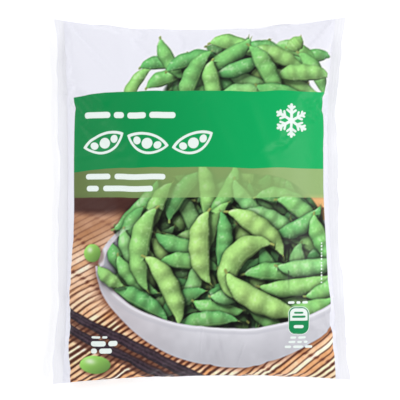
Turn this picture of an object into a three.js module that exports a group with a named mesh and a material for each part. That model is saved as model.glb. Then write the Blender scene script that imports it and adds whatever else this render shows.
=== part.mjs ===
// A sealed pillow bag of frozen edamame pods, lying on its back with its printed front up.
// Millimetres: +X across the front to its right seal, +Y to its upper fold, +Z out of its front.
import * as THREE from "three";

// Outline of the filled bag, seen from the front: its four corners, and how far each edge is
// drawn in at its middle by the filling. The right edge is drawn in more above its middle.
const UPPER_LEFT = new THREE.Vector2(-107, 132.5);
const UPPER_RIGHT = new THREE.Vector2(104.5, 134);
const LOWER_LEFT = new THREE.Vector2(-108, -133);
const LOWER_RIGHT = new THREE.Vector2(108, -129.8);
const UPPER_DIP = 8.9;
const LOWER_DIP = 4.6;
const LEFT_DIP = 3.8;
const RIGHT_DIP = 6.8;
const RIGHT_DIP_SKEW = 0.4;
const BOW_POWER = 2.3;

// The film, its fold to fold half height, its end seals, and the fin seam down the back.
const FILM = 0.4;
const GAP = 0.3;
const LAYER = FILM + GAP;
const HALF_HEIGHT = 133;
const SEAL_START = 0.935;
const FIN_ROOT = -6;
const FIN_WIDTH = 12;
const FIN_STACK = 2 * LAYER;

// The filling: how high the edges of the bag lie, how much higher its corners stand, how far its
// front rises over them, how fast its back drops to the ground, and how quickly the bag fills
// out from the end seals and from the folds.
const EDGE_HEIGHT = 7;
const CORNER_RISE = 3.6;
const FRONT_RISE = 26;
const BACK_DROP = 19;
const SEAL_POWER = 2.4;
const FOLD_POWER = 3.4;
const ROUNDING = 0.62;

// The pods: three crossing layers of single pods, each layer's columns along its pods and its
// rows across them.
const POD_THICKNESS = 8.6;
const POD_SIDES = 8;
const POD_RINGS = 8;
const POD_CLEARANCE = 0.7;
const POD_MARGIN = 1.02;
const LENGTH_SPREAD = 8;
const THREE_BEAN_LENGTH = 49;
const LAYER_PITCH = 9.3;
const FIRST_LAYER_HEIGHT = 6.9;
const POD_TRIES = 12;
const MOST_YAW = 8;
const MOST_PODS = 58;
const POD_LAYERS = [
  { turn: 90, longest: 57, columns: [-87, -29, 29, 87], rows: [-78, -52, -26, 0, 26, 52, 75] },
  { turn: 0, longest: 49, columns: [-52, -2, 48], rows: [-93, -62, -31, 0, 31, 62, 92] },
  { turn: 90, longest: 55, columns: [-29, 29], rows: [-35, -12, 11, 34] },
];

const FRONT_STATIONS = [20, 40, 58, 74, 88, 100, 110, 118, 124, 128.5, 131.5];
const BACK_STATIONS = [25, 45, 66, 84, 99, 111, 120, 126.5, 131];
const ACROSS_STATIONS = [0.18, 0.35, 0.5, 0.63, 0.73, 0.81, 0.87, 0.91, SEAL_START, 0.967, 1];

const filmMaterial = new THREE.MeshStandardMaterial({ color: 0xefedf8, roughness: 0.4, metalness: 0 });
const podMaterial = new THREE.MeshStandardMaterial({ color: 0x6fae4a, roughness: 0.6, metalness: 0 });

// How far an edge is drawn in, 1 at its middle and 0 at its two corners.
function bow(t) {
  return 1 - Math.abs(t) ** BOW_POWER;
}

// The place on the bag, seen from the front, of a point of the flat film. Both u, from the left
// seal to the right one, and v, from the lower fold to the upper one, run from -1 to 1.
function plan(u, v) {
  const across = (u + 1) / 2;
  const along = (v + 1) / 2;
  const upper = UPPER_LEFT.clone().lerp(UPPER_RIGHT, across);
  const lower = LOWER_LEFT.clone().lerp(LOWER_RIGHT, across);
  const point = lower.lerp(upper, along);
  point.y += (1 - along) * LOWER_DIP * bow(u) - along * UPPER_DIP * bow(u);
  point.x += (1 - across) * LEFT_DIP * bow(v);
  point.x -= across * RIGHT_DIP * bow(v) * (1 + RIGHT_DIP_SKEW * v);
  return point;
}

// How full the bag is at a point: 0 along its edges and in its end seals, 1 at its middle.
function fullness(u, v) {
  const across = Math.max(0, 1 - Math.min(1, Math.abs(u) / SEAL_START) ** SEAL_POWER);
  const along = Math.max(0, 1 - Math.min(1, Math.abs(v)) ** FOLD_POWER);
  return (across * along) ** ROUNDING;
}

// Height of the bag's edge, or of its middle plane, which rises towards the corners.
function edgeHeight(u, s) {
  const v = Math.min(1, Math.abs(s) / HALF_HEIGHT);
  return EDGE_HEIGHT + CORNER_RISE * u ** 4 * v ** 4;
}

// Heights of the middle of the film: the front wall, and the back wall, which lies flat on the
// ground under the filling.
function frontHeight(u, s) {
  return edgeHeight(u, s) + LAYER / 2 + FRONT_RISE * fullness(u, s / HALF_HEIGHT);
}

function backHeight(u, s) {
  const drop = BACK_DROP * fullness(u, s / HALF_HEIGHT);
  return Math.max(FILM / 2, edgeHeight(u, s) - LAYER / 2 - drop);
}

// The back wall where the folded fin lies under it.
function raisedBackHeight(u, s) {
  return Math.max(backHeight(u, s), FILM / 2 + FIN_STACK);
}

// Points of a half turn of the film from one layer to the layer above or below it.
function halfTurn(s, height, outward, upward) {
  return [-45, 0, 45].map((degrees) => {
    const angle = THREE.MathUtils.degToRad(degrees);
    const reach = (LAYER / 2) * Math.cos(angle);
    return [s + outward * reach, height + upward * (LAYER / 2) * Math.sin(angle)];
  });
}

// The middle of the film around the bag at one place across it, as [s, height] points: from the
// tip of the fin's outer layer down the back, up the front, and to the tip of its inner layer.
function profile(u) {
  const tip = FIN_ROOT + FIN_WIDTH;
  const outerFin = [tip, FIN_ROOT, FIN_ROOT - 1].map((s) => [s, raisedBackHeight(u, s) - FIN_STACK]);
  const lowerBack = [FIN_ROOT - 3, ...BACK_STATIONS.map((s) => -s)].map((s) => [s, backHeight(u, s)]);
  const lowerFold = halfTurn(-HALF_HEIGHT, edgeHeight(u, HALF_HEIGHT), -1, 1);
  const lowerFront = FRONT_STATIONS.map((s) => -s).reverse();
  const front = [...lowerFront, 0, ...FRONT_STATIONS].map((s) => [s, frontHeight(u, s)]);
  const upperFold = halfTurn(HALF_HEIGHT, edgeHeight(u, HALF_HEIGHT), 1, -1);
  const upperBack = [...BACK_STATIONS].reverse().map((s) => [s, backHeight(u, s)]);
  const overFin = [tip + 1, FIN_ROOT].map((s) => [s, raisedBackHeight(u, s)]);
  const root = halfTurn(FIN_ROOT, raisedBackHeight(u, FIN_ROOT) - LAYER / 2, -1, -1);
  const innerFin = [FIN_ROOT, tip].map((s) => [s, raisedBackHeight(u, s) - LAYER]);
  return [
    ...outerFin, ...lowerBack, ...lowerFold, ...front, ...upperFold,
    ...upperBack, ...overFin, ...root, ...innerFin,
  ];
}

// One closed ring of points round the film's own thickness: its outside along the profile, then
// its inside back again.
function filmRing(u) {
  const middle = profile(u);
  const side = (sign) =>
    middle.map(([s, height], i) => {
      const [s0, h0] = middle[Math.max(i - 1, 0)];
      const [s1, h1] = middle[Math.min(i + 1, middle.length - 1)];
      const length = Math.hypot(s1 - s0, h1 - h0);
      const offset = (sign * FILM) / 2 / length;
      const place = plan(u, (s - offset * (h1 - h0)) / HALF_HEIGHT);
      return new THREE.Vector3(place.x, place.y, height + offset * (s1 - s0));
    });
  return [...side(1), ...side(-1).reverse()];
}

// The film: one sheet folded round into a tube, its two long edges together in the fin, and its
// ends pressed flat into the two end seals.
function filmGeometry() {
  const stations = [...ACROSS_STATIONS.map((u) => -u).reverse(), 0, ...ACROSS_STATIONS];
  const rings = stations.map(filmRing);
  const count = rings[0].length;
  const faces = [];
  for (let i = 0; i + 1 < rings.length; i++) {
    for (let j = 0; j < count; j++) {
      const next = (j + 1) % count;
      const [a, b, c, d] = [i * count + j, i * count + next, (i + 1) * count + next, (i + 1) * count + j];
      faces.push(a, d, b, b, d, c);
    }
  }
  const last = (rings.length - 1) * count;
  for (let j = 0; j + 1 < count / 2; j++) {
    const [a, b, c, d] = [j, j + 1, count - 2 - j, count - 1 - j];
    faces.push(a, b, c, a, c, d);
    faces.push(last + a, last + c, last + b, last + a, last + d, last + c);
  }
  const geometry = new THREE.BufferGeometry().setFromPoints(rings.flat());
  geometry.setIndex(faces);
  geometry.computeVertexNormals();
  return geometry;
}

// A repeatable source of numbers from 0 to 1.
function randomSource(seed) {
  let state = seed;
  return () => {
    state = (state * 1664525 + 1013904223) % 4294967296;
    return state / 4294967296;
  };
}

// A pod: a flattened, curved sheath that swells over each bean and narrows to a tip at each end.
function podGeometry({ length, width, beans, bend }) {
  const geometry = new THREE.SphereGeometry(1, POD_SIDES, POD_RINGS);
  geometry.deleteAttribute("normal");
  geometry.deleteAttribute("uv");
  const points = geometry.getAttribute("position");
  const point = new THREE.Vector3();
  for (let i = 0; i < points.count; i++) {
    point.fromBufferAttribute(points, i);
    const along = point.y;
    const swell = 1 + 0.1 * Math.cos((along * beans + beans - 1) * Math.PI);
    const x = (along * length) / 2;
    const side = (-point.x * width * swell) / 2 / 1.1;
    const sag = bend * (1 - along * along);
    points.setXYZ(i, x, sag + side, (point.z * POD_THICKNESS) / 2);
  }
  geometry.computeVertexNormals();
  return geometry;
}

// The u and v of the flat film's point that lies over a place on the ground.
function flatPoint(x, y) {
  let u = x / LOWER_RIGHT.x;
  let v = y / HALF_HEIGHT;
  for (let turn = 0; turn < 6; turn++) {
    const place = plan(u, v);
    u += (x - place.x) / LOWER_RIGHT.x;
    v += (y - place.y) / HALF_HEIGHT;
  }
  return [u, v];
}

// True when a whole pod lies inside the bag, clear of the film.
function insideBag(mesh) {
  const points = mesh.geometry.getAttribute("position");
  const point = new THREE.Vector3();
  for (let i = 0; i < points.count; i++) {
    point.fromBufferAttribute(points, i).applyMatrix4(mesh.matrixWorld);
    const [u, v] = flatPoint(point.x, point.y).map((t) => t * POD_MARGIN);
    const s = v * HALF_HEIGHT;
    const byFin = s > FIN_ROOT - FIN_WIDTH && s < FIN_ROOT + 3 * FIN_WIDTH;
    const floor = byFin ? raisedBackHeight(u, s) : backHeight(u, s);
    const clear = FILM / 2 + POD_CLEARANCE;
    if (point.z > frontHeight(u, s) - clear || point.z < floor + clear) return false;
  }
  return true;
}

// One pod of a random size, over a place on the ground, its length turned by about turn degrees.
function randomPod(random, x, y, height, { turn, longest }) {
  const length = longest - LENGTH_SPREAD * random();
  const beans = length > THREE_BEAN_LENGTH ? 3 : 2;
  const shape = { length, width: 13 + 2.5 * random(), beans, bend: 3 * random() };
  const pod = new THREE.Mesh(podGeometry(shape), podMaterial);
  const flip = random() < 0.5 ? 0 : 180;
  const yaw = turn + flip + MOST_YAW * (2 * random() - 1);
  pod.position.set(x, y, height);
  pod.rotation.z = THREE.MathUtils.degToRad(yaw);
  pod.updateMatrixWorld(true);
  return pod;
}

// The pods, laid like a loose stack of crossed logs: each layer lies across the one under it.
function layPods() {
  const random = randomSource(7);
  const pods = [];
  POD_LAYERS.forEach((layer, level) => {
    const height = FIRST_LAYER_HEIGHT + level * LAYER_PITCH;
    for (const column of layer.columns) {
      for (const row of layer.rows) {
        const [x, y] = layer.turn === 90 ? [row, column] : [column, row];
        const tries = Array.from({ length: POD_TRIES }, () => randomPod(random, x, y, height, layer));
        const fitting = tries.find(insideBag);
        if (fitting && pods.length < MOST_PODS) pods.push(fitting);
      }
    }
  });
  pods.forEach((pod, i) => {
    pod.name = "pod_" + String(i + 1).padStart(2, "0");
  });
  return pods;
}

const bag = new THREE.Group();
const film = new THREE.Mesh(filmGeometry(), filmMaterial);
film.name = "bag_film";
bag.add(film, ...layPods());

// The origin is on the ground, under the middle of the bag's own box.
const box = new THREE.Box3().setFromObject(bag, true);
const middle = box.getCenter(new THREE.Vector3());
bag.position.set(-middle.x, -middle.y, -box.min.z);
bag.updateMatrixWorld(true);

export default bag;
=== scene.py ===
import math

import bpy
import numpy as np
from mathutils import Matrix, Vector


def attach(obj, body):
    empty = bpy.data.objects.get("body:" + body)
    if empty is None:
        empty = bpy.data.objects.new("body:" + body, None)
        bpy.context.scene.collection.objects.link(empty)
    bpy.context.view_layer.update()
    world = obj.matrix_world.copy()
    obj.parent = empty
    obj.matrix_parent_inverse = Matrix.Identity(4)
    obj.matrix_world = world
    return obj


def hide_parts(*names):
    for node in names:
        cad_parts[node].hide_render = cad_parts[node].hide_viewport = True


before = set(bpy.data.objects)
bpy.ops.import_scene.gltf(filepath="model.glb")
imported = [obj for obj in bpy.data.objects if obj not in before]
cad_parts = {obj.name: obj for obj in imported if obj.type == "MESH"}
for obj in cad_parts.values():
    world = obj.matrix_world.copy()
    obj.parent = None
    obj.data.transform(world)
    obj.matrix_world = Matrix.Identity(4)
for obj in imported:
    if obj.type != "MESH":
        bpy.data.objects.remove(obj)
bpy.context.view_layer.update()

# The camera looks straight down on the bag, which lies on its back wall on a plain white table.
# It stands far off, so the bag's outline shows almost without perspective.

VIEW_WIDTH = 0.291
CAMERA_HEIGHT = 1.6
CAMERA_PLACE = (-0.0009, 0.0004)
EDGE_LEVEL = 0.008

camera_data = bpy.data.cameras.new("camera")
camera_data.sensor_width = 36
camera_data.lens = 36 * (CAMERA_HEIGHT - EDGE_LEVEL) / VIEW_WIDTH
camera = bpy.data.objects.new("camera", camera_data)
camera.location = (CAMERA_PLACE[0], CAMERA_PLACE[1], CAMERA_HEIGHT)
bpy.context.scene.collection.objects.link(camera)
bpy.context.scene.camera = camera
bpy.context.scene.view_settings.view_transform = "Standard"


# The table is a wide board, painted a matt white. It isn't part of the bag.


def new_material(name):
    """An empty node material, and its Principled BSDF."""
    material = bpy.data.materials.new(name)
    material.use_nodes = True
    shader = material.node_tree.nodes["Principled BSDF"]
    return material, shader


def plug(socket, value):
    """Links an input of a node to an output, or sets it to a number, a colour or a vector."""
    if isinstance(value, bpy.types.NodeSocket):
        socket.id_data.links.new(value, socket)
    elif isinstance(value, np.ndarray):
        socket.default_value = (*value, 1)
    else:
        socket.default_value = value


def give(made, **inputs):
    """Plugs the inputs of a node by name, with an underline in place of each space."""
    for name, value in inputs.items():
        plug(made.inputs[name.replace("_", " ")], value)
    return made


def node(tree, kind, **inputs):
    """A new node, with some of its inputs plugged."""
    return give(tree.nodes.new(kind), **inputs)


def deselect_all():
    """Clears the selection before an operator works on one new object."""
    for thing in bpy.context.selected_objects:
        thing.select_set(False)


FLOOR_SIDE = 6.0
FLOOR_DROP = 0.0002
FLOOR_GLOW = 0.2

deselect_all()
bpy.ops.mesh.primitive_plane_add(size=FLOOR_SIDE, location=(0, 0, -FLOOR_DROP))
table_top = bpy.context.object
table_top.name = "table_top"
table_paint, shader = new_material("white table paint")
give(shader, Base_Color=(0.97, 0.97, 0.97, 1), Roughness=0.9, Specular_IOR_Level=0.1)
give(shader, Emission_Color=(1, 1, 1, 1), Emission_Strength=FLOOR_GLOW)
table_top.data.materials.append(table_paint)

# The studio's walls are white, and its ceiling is dark round the camera, so that the film keeps
# its colours. Two soft boxes stand at the right and the left of the table.

WALL_STRENGTH = 0.88
CEILING_STRENGTH = 0.22
CEILING_STARTS = 0.80
CEILING_FULL = 0.95

world = bpy.data.worlds.new("studio")
bpy.context.scene.world = world
world.use_nodes = True
tree = world.node_tree
direction = node(tree, "ShaderNodeTexCoord").outputs["Generated"]
up_part = node(tree, "ShaderNodeSeparateXYZ", Vector=direction).outputs["Z"]
wall_to_ceiling = node(tree, "ShaderNodeMapRange", Value=up_part)
give(wall_to_ceiling, From_Min=CEILING_STARTS, From_Max=CEILING_FULL)
give(wall_to_ceiling, To_Min=WALL_STRENGTH, To_Max=CEILING_STRENGTH)
sky = tree.nodes["Background"]
give(sky, Color=(0.985, 0.99, 1.0, 1), Strength=wall_to_ceiling.outputs["Result"])


def soft_box(name, place, side, watts):
    """A square area light that looks at the middle of the bag."""
    light = bpy.data.lights.new(name, "AREA")
    light.size = side
    light.energy = watts
    lamp = bpy.data.objects.new(name, light)
    lamp.location = place
    lamp.rotation_euler = (-Vector(place)).to_track_quat("-Z", "Y").to_euler()
    bpy.context.scene.collection.objects.link(lamp)


soft_box("right_light", (1.15, -0.15, 1.1), 0.7, 6.2)
soft_box("left_light", (-1.0, 0.5, 1.2), 0.8, 3.8)

# The film pouch: one tube of printed polythene film, folded at its top and bottom and pressed shut
# by hot jaws at both ends, with loose pods and a little air in it. It is cut flat here, welded,
# filled and dropped on the table as cloth, and then eased to the outline that the CAD film has.

POUCH_WIDTH = 0.204
POUCH_HEIGHT = 0.266
SEAL_WIDTH = 0.007
CLOTH_STEP = 0.0032
FILLED_LITRES = 1.2
SLACK_LITRES = 0.16
CLOTH_SCALE = 10.0
CLOTH_FRAMES = 50
FILLING_FRAMES = 36
BENCH_GAP = 0.001
WALL_GAP = 0.004
GAP_REACH = 0.02
FLAT_RIPPLE = 0.0004

across = round(POUCH_WIDTH / CLOTH_STEP)
along = round(POUCH_HEIGHT / CLOTH_STEP)
flat_x = np.linspace(-POUCH_WIDTH / 2, POUCH_WIDTH / 2, across + 1)
flat_y = np.linspace(-POUCH_HEIGHT / 2, POUCH_HEIGHT / 2, along + 1)
FLAT_X, FLAT_Y = np.meshgrid(flat_x, flat_y, indexing="ij")

from_weld = np.minimum(POUCH_WIDTH / 2 - abs(FLAT_X), POUCH_HEIGHT / 2 - abs(FLAT_Y))
slack = np.clip(from_weld / GAP_REACH, 0, 1)
ripple = FLAT_RIPPLE * (
    np.sin(FLAT_X * 61 + 0.7) * np.cos(FLAT_Y * 47 + 0.3)
    + 0.6 * np.sin(FLAT_X * 113 + FLAT_Y * 91 + 2.1)
)
front_flat = np.stack([FLAT_X, FLAT_Y, BENCH_GAP + (WALL_GAP + ripple) * slack], -1)
back_flat = np.stack([FLAT_X, FLAT_Y, np.full_like(FLAT_X, BENCH_GAP)], -1)

front_ids = np.arange(FLAT_X.size).reshape(FLAT_X.shape)
inside_pouch = from_weld > CLOTH_STEP / 4
back_ids = front_ids.copy()
back_ids[inside_pouch] = FLAT_X.size + np.arange(inside_pouch.sum())
cloth_points = np.concatenate([front_flat.reshape(-1, 3), back_flat[inside_pouch]])


def cell_faces(ids, turned=False):
    """The four-sided faces of a grid of point numbers."""
    a = ids[:-1, :-1].ravel()
    b = ids[1:, :-1].ravel()
    c = ids[1:, 1:].ravel()
    d = ids[:-1, 1:].ravel()
    order = [a, d, c, b] if turned else [a, b, c, d]
    return np.stack(order, 1).tolist()


cloth_faces = cell_faces(front_ids) + cell_faces(back_ids, turned=True)
cloth_mesh = bpy.data.meshes.new("film_cloth")
cloth_mesh.from_pydata((cloth_points * CLOTH_SCALE).tolist(), [], cloth_faces)
cloth = bpy.data.objects.new("film_cloth", cloth_mesh)
bpy.context.scene.collection.objects.link(cloth)

deselect_all()
bpy.ops.mesh.primitive_plane_add(size=2 * CLOTH_SCALE, location=(0, 0, 0))
bench = bpy.context.object
bench.modifiers.new("bench", "COLLISION")
bench.collision.thickness_outer = BENCH_GAP * CLOTH_SCALE
bench.collision.cloth_friction = 20

cloth_modifier = cloth.modifiers.new("Cloth", "CLOTH")
film = cloth_modifier.settings
film.quality = 8
film.mass = 0.3
film.tension_stiffness = 200
film.compression_stiffness = 200
film.shear_stiffness = 100
film.bending_stiffness = 0.1
film.tension_damping = 5
film.compression_damping = 5
film.shear_damping = 5
film.bending_damping = 0.5
film.air_damping = 1
film.use_pressure = True
film.uniform_pressure_force = 0
film.use_pressure_volume = True
film.pressure_factor = 100
film.fluid_density = 0.42
for frame_number, litres in (
    (1, SLACK_LITRES),
    (FILLING_FRAMES, FILLED_LITRES),
    (CLOTH_FRAMES, FILLED_LITRES),
):
    film.target_volume = litres * 1e-3 * CLOTH_SCALE ** 3
    film.keyframe_insert("target_volume", frame=frame_number)
cloth_modifier.collision_settings.distance_min = BENCH_GAP * CLOTH_SCALE
cloth_modifier.collision_settings.use_self_collision = False
cloth_modifier.point_cache.frame_start = 1
cloth_modifier.point_cache.frame_end = CLOTH_FRAMES

scene = bpy.context.scene
scene.frame_start = 1
scene.frame_end = CLOTH_FRAMES
for frame_number in range(1, CLOTH_FRAMES + 1):
    scene.frame_set(frame_number)

evaluated = cloth.evaluated_get(bpy.context.evaluated_depsgraph_get())
settled = np.empty(len(cloth_points) * 3)
evaluated.data.vertices.foreach_get("co", settled)
settled = settled.reshape(-1, 3) / CLOTH_SCALE
for helper in (cloth, bench):
    helper_mesh = helper.data
    bpy.data.objects.remove(helper)
    bpy.data.meshes.remove(helper_mesh)
for action in list(bpy.data.actions):
    bpy.data.actions.remove(action)
scene.frame_set(1)

settled[:, 2] -= settled[:, 2].min()
front = settled[front_ids]
back = settled[back_ids]

# The outline, as the CAD film has it: the four corners, and how far each edge is drawn in.
UPPER_LEFT = (-0.1070, 0.1320)
UPPER_RIGHT = (0.1045, 0.1335)
LOWER_LEFT = (-0.1080, -0.1335)
LOWER_RIGHT = (0.1080, -0.1303)
UPPER_DIP = 0.0089
LOWER_DIP = 0.0046
LEFT_DIP = 0.0038
RIGHT_DIP = 0.0068
RIGHT_DIP_SKEW = 0.4
BOW_POWER = 2.3
EASE_WIDTH = 0.012


def bow(t):
    """1 in the middle of an edge and 0 at both of its ends."""
    return 1 - abs(t) ** BOW_POWER


def outline(u, v):
    """The CAD outline's point for u and v from -1 to 1."""
    right = (1 + u) / 2
    up = (1 + v) / 2
    corners = [np.array(c) for c in (LOWER_LEFT, LOWER_RIGHT, UPPER_LEFT, UPPER_RIGHT)]
    lower = corners[0] + np.multiply.outer(right, corners[1] - corners[0])
    upper = corners[2] + np.multiply.outer(right, corners[3] - corners[2])
    point = lower + (upper - lower) * np.expand_dims(up, -1)
    point[..., 1] += (1 - up) * LOWER_DIP * bow(u) - up * UPPER_DIP * bow(u)
    point[..., 0] += (1 - right) * LEFT_DIP * bow(v)
    point[..., 0] -= right * RIGHT_DIP * bow(v) * (1 + RIGHT_DIP_SKEW * v)
    return point


def eased(gap, step):
    """A row of gaps with its short wrinkles averaged away."""
    reach = max(1, round(EASE_WIDTH / step / 2))
    padded = np.concatenate([gap[:1]] * reach + [gap] + [gap[-1:]] * reach)
    return np.stack([padded[k:k + len(gap)] for k in range(2 * reach + 1)]).mean(0)


u_grid = FLAT_X / (POUCH_WIDTH / 2 + SEAL_WIDTH)
v_grid = FLAT_Y / (POUCH_HEIGHT / 2)
wanted = outline(u_grid, v_grid)
gap = wanted - front[..., :2]
left_gap = eased(gap[0], CLOTH_STEP)
right_gap = eased(gap[-1], CLOTH_STEP)
lower_gap = eased(gap[:, 0], CLOTH_STEP)
upper_gap = eased(gap[:, -1], CLOTH_STEP)
right_share = ((1 + u_grid) / 2)[..., None]
up_share = ((1 + v_grid) / 2)[..., None]
easing = (1 - right_share) * left_gap[None] + right_share * right_gap[None]
easing = easing + (1 - up_share) * lower_gap[:, None] + up_share * upper_gap[:, None]
easing -= (1 - right_share) * (1 - up_share) * (left_gap[0] + lower_gap[0]) / 2
easing -= right_share * (1 - up_share) * (right_gap[0] + lower_gap[-1]) / 2
easing -= (1 - right_share) * up_share * (left_gap[-1] + upper_gap[0]) / 2
easing -= right_share * up_share * (right_gap[-1] + upper_gap[-1]) / 2
front[..., :2] += easing
back[..., :2] += easing

# The front is drawn much finer than the cloth, so that it can carry the print.
FINER = 5


def finer(points, axis):
    """Smooth points between those of a grid, along one axis."""
    points = np.moveaxis(points, axis, 0)
    before = 2 * points[:1] - points[1:2]
    after = 2 * points[-1:] - points[-2:-1]
    padded = np.concatenate([before, points, after])
    p0, p1, p2, p3 = padded[:-3], padded[1:-2], padded[2:-1], padded[3:]
    slope = p2 - p0
    curve = 2 * p0 - 5 * p1 + 4 * p2 - p3
    twist = 3 * (p1 - p2) + p3 - p0
    parts = []
    for k in range(FINER):
        t = k / FINER
        parts.append(p1 + 0.5 * t * (slope + t * (curve + t * twist)))
    fine = np.stack(parts, 1).reshape((-1,) + points.shape[1:])
    return np.moveaxis(np.concatenate([fine, points[-1:]]), 0, axis)


front = finer(finer(front, 0), 1)
back = finer(finer(back, 0), 1)
fine_flat = finer(finer(np.stack([FLAT_X, FLAT_Y], -1), 0), 1)
u_fine = fine_flat[..., 0] / (POUCH_WIDTH / 2 + SEAL_WIDTH)
v_fine = fine_flat[..., 1] / (POUCH_HEIGHT / 2)

# Loose pods press low soft lumps into the wall that lies on them.
LUMPS = 70
LUMP_HEIGHT = 0.0007
LUMPS_HALF_WIDTH = 0.085
LUMPS_HALF_HEIGHT = 0.112
rng = np.random.default_rng(11)
inner = np.clip((1 - abs(u_fine)) / 0.3, 0, 1) * np.clip((1 - abs(v_fine)) / 0.25, 0, 1)
lumps = np.zeros_like(u_fine)
for _ in range(LUMPS):
    centre_x = rng.uniform(-LUMPS_HALF_WIDTH, LUMPS_HALF_WIDTH)
    centre_y = rng.uniform(-LUMPS_HALF_HEIGHT, LUMPS_HALF_HEIGHT)
    turn = rng.uniform(0, math.pi)
    length = rng.uniform(0.013, 0.024)
    breadth = rng.uniform(0.005, 0.008)
    height = rng.uniform(-0.4, 1.0)
    east = front[..., 0] - centre_x
    north = front[..., 1] - centre_y
    run = east * math.cos(turn) + north * math.sin(turn)
    off = north * math.cos(turn) - east * math.sin(turn)
    lumps += height * np.exp(-(run / length) ** 2 - (off / breadth) ** 2)
front[..., 2] += LUMP_HEIGHT * lumps * inner

# Handling leaves soft folds and a few sharp creases in the film: from, to, height and width.
# They die out before the folded edges and the end seals.
CREASES_END = 0.936
CREASES = (
    ((-0.022, 0.122), (-0.034, 0.100), 0.0011, 0.0035),
    ((0.004, 0.123), (-0.012, 0.098), 0.0010, 0.0030),
    ((-0.060, 0.120), (-0.052, 0.088), 0.0008, 0.0045),
    ((0.052, 0.123), (0.064, 0.104), 0.0011, 0.0030),
    ((0.088, 0.108), (0.080, 0.062), 0.0008, 0.0040),
    ((-0.092, 0.084), (-0.070, 0.070), 0.0010, 0.0025),
    ((-0.094, 0.030), (-0.076, 0.034), 0.0008, 0.0022),
    ((0.000, 0.074), (0.022, 0.030), 0.0010, 0.0060),
    ((0.034, 0.070), (0.050, 0.022), 0.0008, 0.0050),
    ((0.001, -0.092), (-0.001, -0.113), 0.0006, 0.0007),
    ((0.031, -0.104), (0.026, -0.119), 0.0006, 0.0007),
    ((0.012, -0.097), (0.016, -0.116), -0.0005, 0.0010),
    ((-0.088, -0.060), (-0.074, -0.052), 0.0010, 0.0022),
    ((-0.086, -0.100), (-0.070, -0.092), 0.0010, 0.0020),
    ((0.096, -0.040), (0.082, -0.034), 0.0011, 0.0022),
    ((0.095, -0.096), (0.080, -0.090), 0.0010, 0.0022),
    ((0.0925, 0.070), (0.0900, 0.020), 0.0011, 0.0016),
    ((0.0940, 0.010), (0.0955, -0.030), 0.0010, 0.0014),
    ((0.0975, -0.055), (0.0960, -0.085), 0.0010, 0.0015),
    ((-0.0950, 0.100), (-0.0965, 0.052), 0.0010, 0.0016),
    ((-0.0970, 0.010), (-0.0955, -0.028), 0.0010, 0.0014),
    ((-0.0985, -0.070), (-0.0975, -0.110), 0.0011, 0.0016),
    ((-0.0100, 0.1235), (0.0300, 0.1225), 0.0008, 0.0016),
)
open_wall = np.clip((1 - abs(v_fine)) / 0.04, 0, 1)
open_wall = open_wall * np.clip((CREASES_END - abs(u_fine)) / 0.03, 0, 1)
for (x1, y1), (x2, y2), height, breadth in CREASES:
    dx, dy = x2 - x1, y2 - y1
    east, north = front[..., 0] - x1, front[..., 1] - y1
    run = (east * dx + north * dy) / (dx * dx + dy * dy)
    along_crease = np.clip(run, 0, 1)
    off = np.hypot(east - along_crease * dx, north - along_crease * dy)
    fade = np.clip(1.15 - abs(run - 0.4), 0, 1)
    front[..., 2] += height * np.exp(-(off / breadth) ** 2) * fade * open_wall

# Both walls are kept clear of the pods inside them.
CLEARANCE = 0.0006
RASTER = 0.002
RASTER_HALF = np.array([0.12, 0.145])
SPREAD_STEPS = 4
SPREAD_KEEPS = 0.97
SOFTEN_STEPS = 3


def between(grid, i, j, s, t):
    """Values of a grid at the shares s and t of the way to the next points from i and j."""
    low = grid[i, j] * (1 - s) + grid[i + 1, j] * s
    high = grid[i, j + 1] * (1 - s) + grid[i + 1, j + 1] * s
    return low * (1 - t) + high * t


def clear_of(wall, points, upward):
    """How far a wall has to move up, or down, to pass every point, spread softly around it."""
    shape = tuple(np.round(2 * RASTER_HALF / RASTER).astype(int))
    sign = 1 if upward else -1

    def cell(xy):
        return tuple(np.clip(((xy + RASTER_HALF) / RASTER).astype(int), 0, np.array(shape) - 1).T)

    flat_wall = wall.reshape(-1, 3)
    level = np.full(shape, np.inf)
    np.minimum.at(level, cell(flat_wall[:, :2]), sign * flat_wall[:, 2])
    short = np.zeros(shape)
    where = cell(points[:, :2])
    lacking = sign * points[:, 2] + CLEARANCE - level[where]
    np.maximum.at(short, where, np.where(np.isfinite(lacking), lacking, 0))
    spread = short.copy()
    for _ in range(SPREAD_STEPS):
        for shift, axis in ((1, 0), (-1, 0), (1, 1), (-1, 1)):
            spread = np.maximum(spread, np.roll(spread, shift, axis) * SPREAD_KEEPS)
    for _ in range(SOFTEN_STEPS):
        for axis in (0, 1):
            spread = (np.roll(spread, 1, axis) + 2 * spread + np.roll(spread, -1, axis)) / 4
    place = (wall[..., :2] + RASTER_HALF) / RASTER - 0.5
    low = np.clip(np.floor(place).astype(int), 0, np.array(shape) - 2)
    part = np.clip(place - low, 0, 1)
    return between(spread, low[..., 0], low[..., 1], part[..., 0], part[..., 1])


pod_nodes = [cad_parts[n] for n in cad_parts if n.startswith("pod_")]
pod_points = []
for pod in pod_nodes:
    numbers = np.empty(len(pod.data.vertices) * 3)
    pod.data.vertices.foreach_get("co", numbers)
    pod_points.append(numbers.reshape(-1, 3))
pod_points = np.concatenate(pod_points)
raised = clear_of(front, pod_points, True)
lowered = clear_of(back, pod_points, False)
print("film raised by up to %.2f mm" % (raised.max() * 1e3))
print("film lowered by up to %.2f mm" % (lowered.max() * 1e3))
front[..., 2] += raised
back[..., 2] = np.maximum(back[..., 2] - lowered, 0)

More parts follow.
